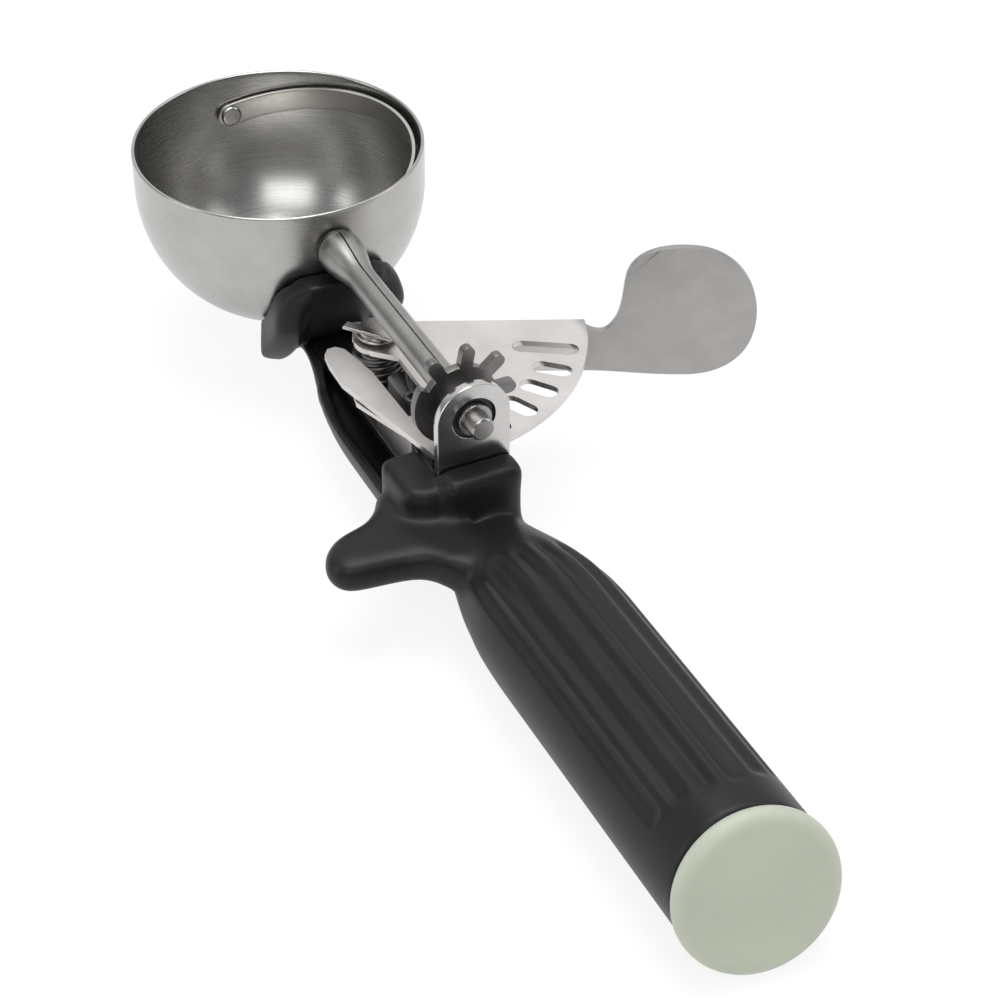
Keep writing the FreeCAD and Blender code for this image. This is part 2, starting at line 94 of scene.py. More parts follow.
def make_object(name, points, faces, material, smooth=True):
    """Mesh object from points in metres and a list of faces, its normals made to point outwards."""
    mesh = bpy.data.meshes.new(name)
    points = np.asarray(points, float).reshape(-1, 3)
    mesh.from_pydata(points.tolist(), [], [tuple(int(i) for i in face) for face in faces])
    work = bmesh.new()
    work.from_mesh(mesh)
    bmesh.ops.remove_doubles(work, verts=work.verts, dist=1e-7)
    bmesh.ops.dissolve_degenerate(work, edges=work.edges, dist=1e-8)
    bmesh.ops.recalc_face_normals(work, faces=work.faces)
    work.to_mesh(mesh)
    work.free()
    mesh.validate()
    if smooth:
        mesh.shade_smooth()
    ob = bpy.data.objects.new(name, mesh)
    bpy.context.scene.collection.objects.link(ob)
    mesh.materials.append(material)
    return ob


def stand_for(ob, body, slot, *nodes):
    """The piece rides on a body and stands for its CAD nodes, which it hides; the slot is not used."""
    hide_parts(*nodes)
    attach(ob, body)


def revolved(profile, count, side=(1, 0, 0), up=(0, 1, 0), axis=(0, 0, 1), foot=(0, 0, 0)):
    """Profile of (radius, height) turned about an axis: each point is the foot, plus the radius
    times cosine of one side and sine of the other, plus the height along the axis."""
    turn = np.linspace(0, FULL_TURN, count, endpoint=False)
    ring = np.cos(turn)[:, None] * np.asarray(side, float) + np.sin(turn)[:, None] * np.asarray(up, float)
    radius, height = np.asarray(profile, float).T
    points = radius[:, None, None] * ring[None] + height[:, None, None] * np.asarray(axis, float)
    return np.asarray(foot, float) + points


def turned_about_y(points, angle):
    """Points turned about Y through the origin: X and Z times a rotation matrix."""
    c, s = math.cos(angle), math.sin(angle)
    return points @ np.array([[c, 0, s], [0, 1, 0], [-s, 0, c]]).T


def carried_round(path, radius, sides):
    """Round section carried along a path: each ring is the path point plus radius times
    cosine of one normal and sine of the other, the normals taken from the path's direction."""
    step = np.gradient(path, axis=0)
    step /= np.linalg.norm(step, axis=1, keepdims=True)
    nearly_up = np.array([0.03, 0.02, 1.0])
    n1 = np.cross(step, nearly_up)
    n1 /= np.linalg.norm(n1, axis=1, keepdims=True)
    n2 = np.cross(n1, step)
    a = np.linspace(0, FULL_TURN, sides, endpoint=False)[None, :, None]
    return path[:, None] + radius * (np.cos(a) * n1[:, None] + np.sin(a) * n2[:, None])


def ease(x):
    """Smooth step from 0 to 1: 3x^2 - 2x^3 between 0 and 1."""
    x = np.clip(x, 0.0, 1.0)
    return x * x * (3.0 - 2.0 * x)


def past(value, start, width):
    """0 up to the start, then a smooth step that is 1 a width further on."""
    return ease((value - start) / width)


def before(value, end, width):
    """0 from the end on, and a smooth step that is 1 a width before it."""
    return ease((end - value) / width)


def smooth_table(y, at, values, width):
    """Values read off a table at y and averaged over a bell curve of the given width."""
    taps = np.linspace(-2.0, 2.0, 17)
    bell = np.exp(-taps ** 2)
    bell /= bell.sum()
    return sum(b * np.interp(y + t * width, at, values) for t, b in zip(taps, bell))


# ---------------------------------------------------------------- materials
MIX_FACTOR, MIX_FIRST, MIX_SECOND, MIX_RESULT = 0, 6, 7, 2   # a colour mix node's sockets
RELIEF = 0.1 * MM


def shader(name, colour, rough, metal=0.0, spec=0.5):
    """New material with one principled shader; returns it with its node tree and shader."""
    mat = bpy.data.materials.new(name)
    mat.use_nodes = True
    bsdf = mat.node_tree.nodes["Principled BSDF"]
    bsdf.inputs["Base Color"].default_value = (*colour, 1.0)
    bsdf.inputs["Roughness"].default_value = rough
    bsdf.inputs["Metallic"].default_value = metal
    bsdf.inputs["Specular IOR Level"].default_value = spec
    mat.diffuse_color = (*colour, 1.0)
    return mat, mat.node_tree, bsdf


def add(nt, kind, operation=None, **inputs):
    """Adds a node, sets its operation if one is given, and sets inputs by name."""
    node = nt.nodes.new(kind)
    if operation:
        node.operation = operation
    for key, value in inputs.items():
        node.inputs[key.replace("_", " ")].default_value = value
    return node


def times(nt, socket, factors):
    """Output of a node that multiplies a vector socket by three fixed factors."""
    node = add(nt, "ShaderNodeVectorMath", "MULTIPLY")
    node.inputs[1].default_value = factors
    nt.links.new(socket, node.inputs[0])
    return node.outputs["Vector"]


def ramp_between(nt, source, low, high, pos=(0.3, 0.7)):
    """Colour ramp between two colours, fed by a factor socket."""
    node = nt.nodes.new("ShaderNodeValToRGB")
    for element, place, colour in zip(node.color_ramp.elements, pos, (low, high)):
        element.position = place
        element.color = (*colour, 1)
    nt.links.new(source, node.inputs["Fac"])
    return node


def mix_colour(nt, factor, first, second, blend="MIX"):
    """Output of a colour mix from a socket's colour to a fixed one, by a factor socket."""
    node = add(nt, "ShaderNodeMix")
    node.data_type = "RGBA"
    node.blend_type = blend
    node.inputs[MIX_SECOND].default_value = (*second, 1.0)
    nt.links.new(factor, node.inputs[MIX_FACTOR])
    nt.links.new(first, node.inputs[MIX_FIRST])
    return node.outputs[MIX_RESULT]


def noise_at(nt, vector, scale, detail, rough):
    """Output of a noise texture read at a vector socket."""
    node = add(nt, "ShaderNodeTexNoise", Scale=scale, Detail=detail, Roughness=rough)
    nt.links.new(vector, node.inputs["Vector"])
    return node.outputs["Fac"]


def weathered(nt, bsdf, tone_noise, tones, dull_noise, dulls, relief_noise, bump):
    """Colour between two tones, roughness between two values and a fine relief, each by a noise."""
    tone = ramp_between(nt, tone_noise, *tones)
    nt.links.new(tone.outputs["Color"], bsdf.inputs["Base Color"])
    dull = add(nt, "ShaderNodeMapRange", To_Min=dulls[0], To_Max=dulls[1])
    nt.links.new(dull_noise, dull.inputs["Value"])
    nt.links.new(dull.outputs["Result"], bsdf.inputs["Roughness"])
    relief = add(nt, "ShaderNodeBump", Strength=bump, Distance=RELIEF)
    nt.links.new(relief_noise, relief.inputs["Height"])
    nt.links.new(relief.outputs["Normal"], bsdf.inputs["Normal"])


def steel(name, colour, rough, lines, line_scale, bump, stain):
    """Steel with fine work lines: stretched noise for the lines, broad noise for the colour.
    Lines run along Y, across it, or in rings about Z (spun), or the grain is even."""
    mat, nt, bsdf = shader(name, colour, rough, metal=1.0)
    place = add(nt, "ShaderNodeTexCoord").outputs["Object"]
    vector = place
    if lines == "spun":
        # rings about Z: the pattern is read at (distance from the axis, height, 0)
        far = add(nt, "ShaderNodeVectorMath", "LENGTH")
        nt.links.new(times(nt, place, (1, 1, 0)), far.inputs[0])
        parts = add(nt, "ShaderNodeSeparateXYZ")
        nt.links.new(place, parts.inputs[0])
        join = add(nt, "ShaderNodeCombineXYZ")
        nt.links.new(far.outputs["Value"], join.inputs["X"])
        nt.links.new(parts.outputs["Z"], join.inputs["Y"])
        vector = join.outputs["Vector"]
    long_way = line_scale * 0.02
    stretch = {
        "spun": (line_scale, line_scale, 1.0),
        "along": (line_scale, long_way, line_scale),
        "across": (long_way, line_scale, line_scale),
        "even": (line_scale, line_scale, line_scale),
    }[lines]
    fine = noise_at(nt, times(nt, vector, stretch), 1.0, 3.0, 0.6)
    broad = noise_at(nt, place, 90.0, 4.0, 0.6)
    dark = tuple(c * (1.0 - stain) for c in colour)
    pale = tuple(min(1.0, c * (1.0 + stain * 0.6)) for c in colour)
    weathered(nt, bsdf, broad, (dark, pale), fine, (rough * 0.8, rough * 1.25), fine, bump)
    return mat


def plastic(name, colour, rough, grain, bump, mottle, spec):
    """Moulded plastic: faint mottling, a fine orange-peel relief and scuffs in the gloss."""
    mat, nt, bsdf = shader(name, colour, rough, spec=spec)
    place = add(nt, "ShaderNodeTexCoord").outputs["Object"]
    peel = noise_at(nt, place, grain, 2.0, 0.5)
    broad = noise_at(nt, place, 60.0, 5.0, 0.65)
    dark = tuple(c * (1.0 - mottle) for c in colour)
    pale = tuple(min(1.0, c * (1.0 + mottle)) for c in colour)
    weathered(nt, bsdf, broad, (dark, pale), broad, (rough * 0.82, rough * 1.22), peel, bump)
    return mat


def pad_painted_shade(mat):
    """Painted shade over the thumb pad: darkens the steel's colour there, by a smooth step along X past
    the sector's edge.
    """
    nt = mat.node_tree
    base = nt.nodes["Principled BSDF"].inputs["Base Color"]
    colour = base.links[0].from_socket
    parts = add(nt, "ShaderNodeSeparateXYZ")
    nt.links.new(add(nt, "ShaderNodeTexCoord").outputs["Object"], parts.inputs[0])
    step = add(nt, "ShaderNodeMapRange", From_Min=42.5 * MM, From_Max=45.5 * MM)
    step.interpolation_type = "SMOOTHSTEP"
    nt.links.new(parts.outputs["X"], step.inputs["Value"])
    # painted shade: the pad's colour is multiplied by a darker grey
    pad_shade = mix_colour(nt, step.outputs["Result"], colour, (0.60, 0.605, 0.60), "MULTIPLY")
    nt.links.new(pad_shade, base)


def finishes(look):
    """Every finish on the scoop, by the record's slot name."""
    # slot: colour, roughness, lines, scale of the lines, relief, stain
    steels = {
        "bowl_steel": (look.bowl_colour, look.bowl_rough, "spun", 1500.0, 0.012, 0.08),
        "bearing_brass": ((0.28, 0.27, 0.25), 0.36, "even", 1500.0, 0.05, 0.08),
        "polished_steel": ((0.50, 0.49, 0.48), 0.24, "even", 1200.0, 0.03, 0.08),
        "blade_steel": ((0.50, 0.49, 0.46), 0.30, "even", 700.0, 0.02, 0.08),
        "shaft_steel": ((0.36, 0.35, 0.34), 0.26, "across", 2600.0, 0.10, 0.08),
        "tube_steel": ((0.31, 0.305, 0.295), 0.33, "along", 1600.0, 0.04, 0.18),
        "dark_steel": ((0.20, 0.195, 0.19), 0.38, "even", 1500.0, 0.08, 0.3),
        "lever_steel": (look.lever_colour, 0.36, "even", 900.0, 0.03, 0.10),
        "spring_steel": ((0.13, 0.125, 0.12), 0.38, "even", 900.0, 0.05, 0.08),
        "shank_steel": ((0.16, 0.155, 0.15), 0.34, "along", 1800.0, 0.05, 0.2),
        "bracket_steel": ((0.56, 0.55, 0.54), 0.20, "across", 1600.0, 0.06, 0.08),
    }
    # slot: colour, roughness, scale of the grain, relief, mottle, specular level
    plastics = {
        "bush_plastic": ((0.012, 0.012, 0.012), 0.5, 2600.0, 0.06, 0.10, 0.5),
        "handle_plastic": (look.handle_colour, look.handle_rough, 2600.0, 0.06, 0.14, 0.22),
        "cap_plastic": (look.cap_colour, 0.42, 2000.0, 0.05, 0.05, 0.4),
    }
    made = {slot: steel(slot, *values) for slot, values in steels.items()}
    made.update({slot: plastic(slot, *values) for slot, values in plastics.items()})
    # the lever's steel gets painted shade over its thumb pad
    pad_painted_shade(made["lever_steel"])
    return made


MATERIALS = {}


def finish_for(slot):
    """The material of a slot, made on first use."""
    if not MATERIALS:
        MATERIALS.update(finishes(bpy.context.scene.scoop_finish))
    return MATERIALS[slot]


# ---------------------------------------------------------------- settings
class ScoopFinish(bpy.types.PropertyGroup):
    """Colours and gloss of the main finishes"""
    bowl_colour: bpy.props.FloatVectorProperty(
        name="Bowl", description="Colour of the bowl's steel",
        subtype="COLOR", size=3, default=(0.42, 0.414, 0.403))
    lever_colour: bpy.props.FloatVectorProperty(
        name="Lever", description="Colour of the lever's steel",
        subtype="COLOR", size=3, default=(0.62, 0.60, 0.59))
    handle_colour: bpy.props.FloatVectorProperty(
        name="Handle", description="Colour of the grip's plastic",
        subtype="COLOR", size=3, default=(0.009, 0.009, 0.0095))
    cap_colour: bpy.props.FloatVectorProperty(
        name="End cap", description="Colour of the end cap",
        subtype="COLOR", size=3, default=(0.366, 0.392, 0.315))
    bowl_rough: bpy.props.FloatProperty(
        name="Bowl roughness", description="How dull the bowl is",
        default=0.27, min=0.0, max=1.0, subtype="FACTOR")
    handle_rough: bpy.props.FloatProperty(
        name="Handle roughness", description="How dull the grip is",
        default=0.40, min=0.0, max=1.0, subtype="FACTOR")


class ScoopBowl(bpy.types.PropertyGroup):
    """Sizes of the bowl and of the blade in it"""
    radius: bpy.props.FloatProperty(
        name="Ball radius", description="Outside radius of the bowl's ball",
        default=35.0 * MM, unit="LENGTH")
    wall: bpy.props.FloatProperty(
        name="Wall", description="Thickness of the bowl's sheet",
        default=0.9 * MM, unit="LENGTH")
    rim: bpy.props.FloatProperty(
        name="Rim height", description="Height of the rim over the ball's centre",
        default=10.0 * MM, unit="LENGTH")
    blade_radius: bpy.props.FloatProperty(
        name="Blade radius", description="Outside radius of the scraper's hoop",
        default=33.7 * MM, unit="LENGTH")
    blade_width: bpy.props.FloatProperty(
        name="Blade width", description="Width of the scraper's strip",
        default=6.2 * MM, unit="LENGTH")
    blade_thick: bpy.props.FloatProperty(
        name="Blade thickness", description="Thickness of the scraper's strip",
        default=1.0 * MM, unit="LENGTH")
    blade_rest: bpy.props.FloatProperty(
        name="Blade rest angle", description="How far the blade stands over level at rest",
        default=math.radians(9.5), subtype="ANGLE")


class ScoopTube(bpy.types.PropertyGroup):
    """Sizes of the rolled tube on the shaft"""
    radius: bpy.props.FloatProperty(
        name="Tube radius", description="Outside radius of the shaft's tube",
        default=3.3 * MM, unit="LENGTH")
    wall: bpy.props.FloatProperty(
        name="Wall", description="Thickness of the rolled sheet",
        default=0.58 * MM, unit="LENGTH")
    flare: bpy.props.FloatProperty(
        name="Flare radius", description="Outside radius of the flared mouth",
        default=5.3 * MM, unit="LENGTH")
    seam: bpy.props.FloatProperty(
        name="Seam", description="Width of the open seam",
        default=0.4 * MM, unit="LENGTH")


class ScoopStage(bpy.types.PropertyGroup):
    """The camera's lens and the floor's height"""
    lens: bpy.props.FloatProperty(
        name="Lens", description="Focal length in millimetres on a 36 mm sensor",
        default=86.486)
    floor_drop: bpy.props.FloatProperty(
        name="Floor drop", description="Gap between the scoop's lowest point and the floor",
        default=0.5 * MM, unit="LENGTH")


# ---------------------------------------------------------------- bowl
class SCOOP_OT_bowl(bpy.types.Operator):
    """Spun steel bowl: a closed wall profile turned about Z"""
    bl_idname = "scoop.bowl"
    bl_label = "Bowl"

    def execute(self, context):
        s = context.scene.scoop_bowl
        # profile: outer quarter circle, straight wall, half-round lip, and the same back down inside
        a = np.linspace(0, math.pi / 2, 72)
        quarter = np.stack([np.sin(a), -np.cos(a)], 1)
        lip = s.wall / 2
        middle = s.radius - lip
        inside = s.radius - s.wall
        height = np.linspace(0, s.rim - lip, 11)[1:]
        half_turn = np.linspace(0, math.pi, 9)[1:-1]
        lip_arc = np.stack([middle + lip * np.cos(half_turn),
                            s.rim - lip + lip * np.sin(half_turn)], 1)
        profile = np.concatenate([
            s.radius * quarter,
            np.stack([np.full(10, s.radius), height], 1),
            lip_arc,
            np.stack([np.full(10, inside), height[::-1]], 1),
            inside * quarter[::-1],
        ])
        count = 192
        points = revolved(profile, count)
        faces = skin(len(profile), count, False, True)
        ob = make_object("bowl_shell", points, faces, finish_for("bowl_steel"))
        stand_for(ob, "frame", "bowl_steel", "bowl")
        return {"FINISHED"}


class SCOOP_OT_scraper(bpy.types.Operator):
    """Scraper blade: a strip carried round half a circle, with a round tab at each end"""
    bl_idname = "scoop.scraper"
    bl_label = "Scraper blade"

    def execute(self, context):
        s = context.scene.scoop_bowl
        half = s.blade_width / 2
        hoop_count, section_count = 120, 28
        # path: half a circle in the XY plane, then straight past each end by half the strip's width;
        # the strip's half width there is the square root of half squared less the distance squared
        tab = half * np.sin(np.linspace(math.pi / 2, 0, 14))[:-1]
        none, one = np.zeros(len(tab)), np.ones(len(tab))
        narrow = np.sqrt(np.maximum(half ** 2 - tab ** 2, 1e-12))
        a = np.linspace(math.pi / 2, -math.pi / 2, hoop_count)
        r = s.blade_radius - s.blade_thick / 2
        x = np.concatenate([-tab, r * np.cos(a), -tab[::-1]])
        y = np.concatenate([r * one, r * np.sin(a), -r * one])
        nx = np.concatenate([none, np.cos(a), none])
        ny = np.concatenate([one, np.sin(a), -one])
        wide = np.concatenate([narrow, np.full(hoop_count, half), narrow[::-1]])
        # section: a rounded oblong, the thickness across and the strip's width up; cosine and
        # sine to a power under 1 keep their signs and fill out its corners
        e = np.linspace(0, FULL_TURN, section_count, endpoint=False)
        across = np.sign(np.cos(e)) * np.abs(np.cos(e)) ** 0.35 * s.blade_thick / 2
        upward = np.sign(np.sin(e)) * np.abs(np.sin(e)) ** 0.12
        px = x[:, None] + across[None, :] * nx[:, None]
        py = y[:, None] + across[None, :] * ny[:, None]
        pz = upward[None, :] * (wide[:, None] - s.blade_thick * 0.1)
        points = turned_about_y(np.stack([px, py, pz], -1).reshape(-1, 3), -s.blade_rest)
        faces = skin(len(x), section_count, False, True)
        ob = make_object("scraper_blade", points, faces, finish_for("blade_steel"))
        stand_for(ob, "rotor", "blade_steel", "scraper")
        return {"FINISHED"}


# ---------------------------------------------------------------- shaft
TUBE_REAR = -98.93
SWELL_START = -50.0
SWELL_END = -37.6
TUBE_MOUTH = [-37.0, -36.6, -36.42]


class SCOOP_OT_tube(bpy.types.Operator):
    """Rolled shaft tube: an open ring section carried along Y, swelling to the flared mouth"""
    bl_idname = "scoop.tube"
    bl_label = "Shaft tube"

    def execute(self, context):
        s = context.scene.scoop_tube
        y = np.concatenate([np.linspace(TUBE_REAR, SWELL_START, 40),
                            np.linspace(SWELL_START, SWELL_END, 16)[1:], TUBE_MOUTH])
        out_r = s.radius + (s.flare - s.radius) * past(y, SWELL_START, SWELL_END - SWELL_START)
        gap = (s.seam / 2 / out_r)[:, None]
        # the section is an outer arc from one edge of the seam to the other and the inner arc back;
        # the outer radius drops by a bell curve at each edge, as rolled sheet does
        m = 56
        t = np.linspace(0, 1, m)[None, :]
        arc = math.pi / 2 + gap + (FULL_TURN - 2 * gap) * t
        bell = np.exp(-((t * (m - 1)) ** 2) / 6) + np.exp(-(((1 - t) * (m - 1)) ** 2) / 6)
        outer = out_r[:, None] - 0.16 * MM * bell
        inner = np.repeat((out_r - s.wall)[:, None], m, 1)
        angle = np.concatenate([arc, arc[:, ::-1]], 1)
        radius = np.concatenate([outer, inner], 1)
        along = np.repeat(y[:, None] * MM, 2 * m, 1)
        points = np.stack([radius * np.cos(angle), along, radius * np.sin(angle)], -1)
        faces = skin(len(y), 2 * m, False, True).tolist()
        # each end is closed by quads between the outer arc and the inner one
        for base in (0, (len(y) - 1) * 2 * m):
            for i in range(m - 1):
                opposite = base + 2 * m - 1 - i
                faces.append((base + i, base + i + 1, opposite - 1, opposite))
        ob = make_object("rolled_tube", points, faces, finish_for("tube_steel"))
        ob.data.set_sharp_from_angle(angle=math.radians(50))
        stand_for(ob, "rotor", "tube_steel", "shaft_tube")
        return {"FINISHED"}


# ---------------------------------------------------------------- spring
SHANK_TOP = -26.2
WIRE_RADIUS = 0.55
COIL_RADIUS = 5.4
COIL_TURNS = 6
COIL_LOW = SHANK_TOP + WIRE_RADIUS + 0.6    # clear of the shank by 0.6 mm
COIL_RISE = 11.1
PIVOT = np.array([0, -57.0, 0])
LOW_LEG = 9.0
HIGH_LEG = 20.5
EYE_RADIUS = 1.6
EYE_RISE = 0.02                             # in eye radii a radian


class SCOOP_OT_spring(bpy.types.Operator):
    """Return spring: round wire carried along a helix, its two legs and the eye"""
    bl_idname = "scoop.spring"
    bl_label = "Return spring"

    def execute(self, context):
        t = np.linspace(0, 1, COIL_TURNS * 30)
        a = COIL_TURNS * FULL_TURN * t
        coil = np.stack([COIL_RADIUS * np.cos(a), COIL_RADIUS * np.sin(a), COIL_LOW + COIL_RISE * t], 1)
        leg = np.array([-0.30, -1.0, 0.0])
        leg /= np.linalg.norm(leg)
        low_leg = coil[0] + np.linspace(1, 0, 8)[:-1, None] * np.array([0, -LOW_LEG, 0])
        high_leg = coil[-1] + np.linspace(0, 1, 12)[1:, None] * leg * HIGH_LEG
        centre = high_leg[-1] + leg * EYE_RADIUS
        e = np.linspace(0, FULL_TURN, 24)[1:]
        back = math.atan2(-leg[1], -leg[0])
        eye = centre + EYE_RADIUS * np.stack([np.cos(back + e), np.sin(back + e), EYE_RISE * e], 1)
        path = (np.concatenate([low_leg, coil, high_leg, eye]) + PIVOT) * MM
        sides = 12
        rings = carried_round(path, WIRE_RADIUS * MM, sides)
        faces = skin(len(path), sides, False, True).tolist()
        for start in (0, (len(path) - 1) * sides):
            faces.append(tuple(range(start, start + sides)))
        ob = make_object("wire_spring", rings, faces, finish_for("spring_steel"))
        stand_for(ob, "frame", "spring_steel", "return_spring")
        return {"FINISHED"}


# ---------------------------------------------------------------- handle
# lengths in millimetres, along Y from the grip's end at -226 to the bowl
ARM_Y = [-108.0, -66.0, -56.0, -48.0, -41.0, -33.0, -22.0]
ARM_W = [15.0, 15.0, 14.0, 12.2, 9.8, 8.2, 8.0]
ARM_Z = -27.0                           # height of the half round's centre
ARM_RADIUS = 15.0
GRIP_Y = [-226.0, -149.0, -141.0, -133.0, -125.0, -118.0, -106.0]
GRIP_R = [16.2, 16.2, 15.7, 14.4, 12.6, 10.8, 9.6]
GRIP_DROP = [0.0, 0.0, 0.4, 1.1, 1.9, 2.4, 3.0]
GRIP_FRONT_Y = -118.0
GRIP_FRONT_Z = -29.1
GRIP_SLOPE = 0.0125
FLUTES = 6
FLUTE_STEP = math.radians(21.0)
FLUTE_HALF = 2.45
FLUTE_DEPTH = 1.05
CAP_FOOT = np.array([0, -226.0, -27.75])
CAP_TILT = math.radians(19.0)
CAP_YAW = math.radians(-7.0)
CAP_YAW_SLOPE = 0.1228                  # the yaw's tangent


def grip_radius(y, turn):
    """Radius of the grip at distance y along it and angle turn from its top: the shoulder's radius,
    less a hollow for each of six flutes. A hollow is a cosine to the power 1.5 across the flute,
    and fades out at both ends."""
    depth = np.zeros_like(y)
    for off in np.arange(FLUTES) - (FLUTES - 1) / 2:
        s = (turn - FLUTE_STEP * off) * GRIP_R[0] / FLUTE_HALF
        hollow = np.where(np.abs(s) < 1, np.cos(np.clip(s, -1, 1) * math.pi / 2) ** 1.5, 0.0)
        first = -127.5 - 1.5 * abs(off)
        last = -215.0 + 1.2 * abs(off)
        depth = depth + FLUTE_DEPTH * hollow * before(y, first, 7.0) * past(y, last, 3.5)
    return smooth_table(y, GRIP_Y, GRIP_R, 3.0) - depth


def voxel_copy(source, name, size):
    """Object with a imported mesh's copy, its doubled points joined, rebuilt as even voxels."""
    mesh = source.data.copy()
    mesh.name = name
    work = bmesh.new()
    work.from_mesh(mesh)
    bmesh.ops.remove_doubles(work, verts=work.verts, dist=1e-6)
    work.to_mesh(mesh)
    work.free()
    ob = bpy.data.objects.new(name, mesh)
    bpy.context.scene.collection.objects.link(ob)
    remesh = ob.modifiers.new("remesh", "REMESH")
    remesh.mode = "VOXEL"
    remesh.voxel_size = size
    graph = bpy.context.evaluated_depsgraph_get()
    rebuilt = bpy.data.meshes.new_from_object(ob.evaluated_get(graph))
    ob.modifiers.clear()
    ob.data = rebuilt
    return ob


def averaged(mesh, co, rounds):
    """Points moved half way to the mean of their neighbours, for each point's number of rounds."""
    count = len(co)
    pairs = np.empty(len(mesh.edges) * 2, np.int64)
    mesh.edges.foreach_get("vertices", pairs)
    a, b = pairs.reshape(-1, 2).T
    links = np.bincount(np.concatenate([a, b]), minlength=count)[:, None]
    for i in range(int(rounds.max()) + 1):
        total = np.stack([np.bincount(a, co[b, k], count) + np.bincount(b, co[a, k], count)
                          for k in range(3)], 1)
        co = co + 0.5 * np.clip(rounds - i, 0.0, 1.0)[:, None] * (total / links - co)
    return co


def handle_rounds(co):
    """Rounds of averaging for each point of the handle: many on the wing, the tower, the shoulder
    and the lobes under the bowl, few on the thin walls."""
    x, y, z = co.T
    near = past(y, -146.0, 8.0) * before(y, -99.0, 4.0)
    tower = 26.0 * before(z, -13.0, 6.0)
    wing = 34.0 * before(x, -17.0, 4.0)
    lobes = 42.0 * past(y, -46.0, 6.0) * past(np.abs(x), 8.5, 3.0)
    return 4.0 + near * (tower + wing + 5.0) + lobes


def shaped_front(co):
    """The arm, the saddle and the wing, each by a smooth mask times a scaling or a shift."""
    x, y, z = co.T
    # arm: a half round whose radius follows the arm's width, so the part under the bowl is shallow
    width = np.interp(y, ARM_Y, ARM_W)
    fair = smooth_table(y, ARM_Y, ARM_W, 5.0)
    rho = np.hypot(x, z - ARM_Z)
    sine = np.maximum(np.abs(x) / np.maximum(rho, TINY), TINY)
    edge = np.minimum(ARM_RADIUS, width / sine)
    arm = past(y, -104.0, 6.0) * before(y, -20.0, 2.0) * (z < ARM_Z + 0.1) * (rho < edge + 0.4)
    scale = 1.0 + arm * (fair / edge - 1.0)
    # arm's rear corners: drawn in to the shoulder, as x times a factor that falls to 0.64
    at_corner = (x > 9.3) | ((x < -9.3) & (z < -29.0))
    draw = before(y, -90.0, 16.0) * past(y, -116.0, 5.0) * past(np.abs(x), 9.0, 2.0) * at_corner
    x2 = x * scale * (1.0 - 0.36 * draw)
    z2 = ARM_Z + (z - ARM_Z) * scale
    # saddle: the lobes under the bowl stand out from the ball by up to 3 mm more
    ball = np.sqrt(x * x + y * y + z * z)
    lobe = past(ball, 37.0, 3.0) * past(y, -52.0, 6.0) * past(np.abs(x), 7.5, 4.0) * before(z, -9.0, 9.0)
    out = 1.0 + 3.0 * lobe / ball
    # wing: set forward by 2.4 mm to where the finger rests
    wing = 2.4 * before(x, -11.0, 8.0) * past(y, -137.0, 8.0) * before(y, -97.0, 4.0)
    return np.stack([x2 * out, y * out + wing, z2 * out], 1)


def shaped_grip(co):
    """The grip: each point behind the shoulder goes out or in to the formula's radius, except
    near the slanted end face and low on the shoulder, where the pull fades."""
    x, y, z = co.T
    centre = GRIP_FRONT_Z + (GRIP_FRONT_Y - y) * GRIP_SLOPE - smooth_table(y, GRIP_Y, GRIP_DROP, 3.0)
    far = np.hypot(x, z - centre)
    want = grip_radius(y, np.arctan2(x, z - centre))
    end = (y - CAP_FOOT[1]) - (z - CAP_FOOT[2]) * math.tan(CAP_TILT) + x * CAP_YAW_SLOPE
    pull = before(y, -124.5, 9.0) * past(far, 12.2, 1.0) * past(end, 0.5, 0.9)
    shoulder_low = np.where(x > 0, -42.0, -33.0)
    pull = pull * np.where(y > -137.0, past(z, shoulder_low, 5.0), 1.0)
    grow = 1.0 + pull * (want / np.maximum(far, TINY) - 1.0)
    return np.stack([x * grow, y, centre + (z - centre) * grow], 1)


class SCOOP_OT_handle(bpy.types.Operator):
    """Handle moulding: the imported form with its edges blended, and the fluted grip as a formula"""
    bl_idname = "scoop.handle"
    bl_label = "Handle moulding"

    def execute(self, context):
        ob = voxel_copy(NODES["handle"], "handle_moulding", 0.6 * MM)
        mesh = ob.data
        co = np.empty(len(mesh.vertices) * 3)
        mesh.vertices.foreach_get("co", co)
        co = co.reshape(-1, 3) / MM
        co = shaped_grip(shaped_front(averaged(mesh, co, handle_rounds(co))))
        mesh.vertices.foreach_set("co", (co * MM).reshape(-1))
        mesh.materials.clear()
        mesh.materials.append(finish_for("handle_plastic"))
        mesh.shade_smooth()
        mesh.update()
        stand_for(ob, "frame", "handle_plastic", "handle")
        return {"FINISHED"}


class SCOOP_OT_cap(bpy.types.Operator):
    """End cap: a low domed profile turned about the slanted end's normal"""
    bl_idname = "scoop.cap"
    bl_label = "End cap"

    def execute(self, context):
        normal = np.array([math.sin(CAP_YAW) * math.cos(CAP_TILT),
                           -math.cos(CAP_YAW) * math.cos(CAP_TILT), math.sin(CAP_TILT)])
        side = np.cross(normal, [0, 0, 1.0])
        side /= np.linalg.norm(side)
        # profile (radius, height): back face, side with a rounded foot, large rounded shoulder, flat face
        a = np.linspace(0, math.pi / 2, 18)
        profile = np.concatenate([
            [[0, 0.02], [10, 0.02], [16.4, 0.02], [16.75, 0.08], [16.92, 0.3]],
            np.stack([14.0 + 2.95 * np.cos(a), 0.9 + 2.55 * np.sin(a)], 1),
            [[13.0, 3.47], [12.0, 3.47], [11.2, 3.42], [6, 3.40], [0, 3.40]],
        ])
        count = 144
        points = revolved(profile, count, side, np.cross(normal, side), normal, CAP_FOOT) * MM
        faces = skin(len(profile), count, False, True)
        ob = make_object("cap_disc", points, faces, finish_for("cap_plastic"))
        stand_for(ob, "frame", "cap_plastic", "end_cap")
        return {"FINISHED"}


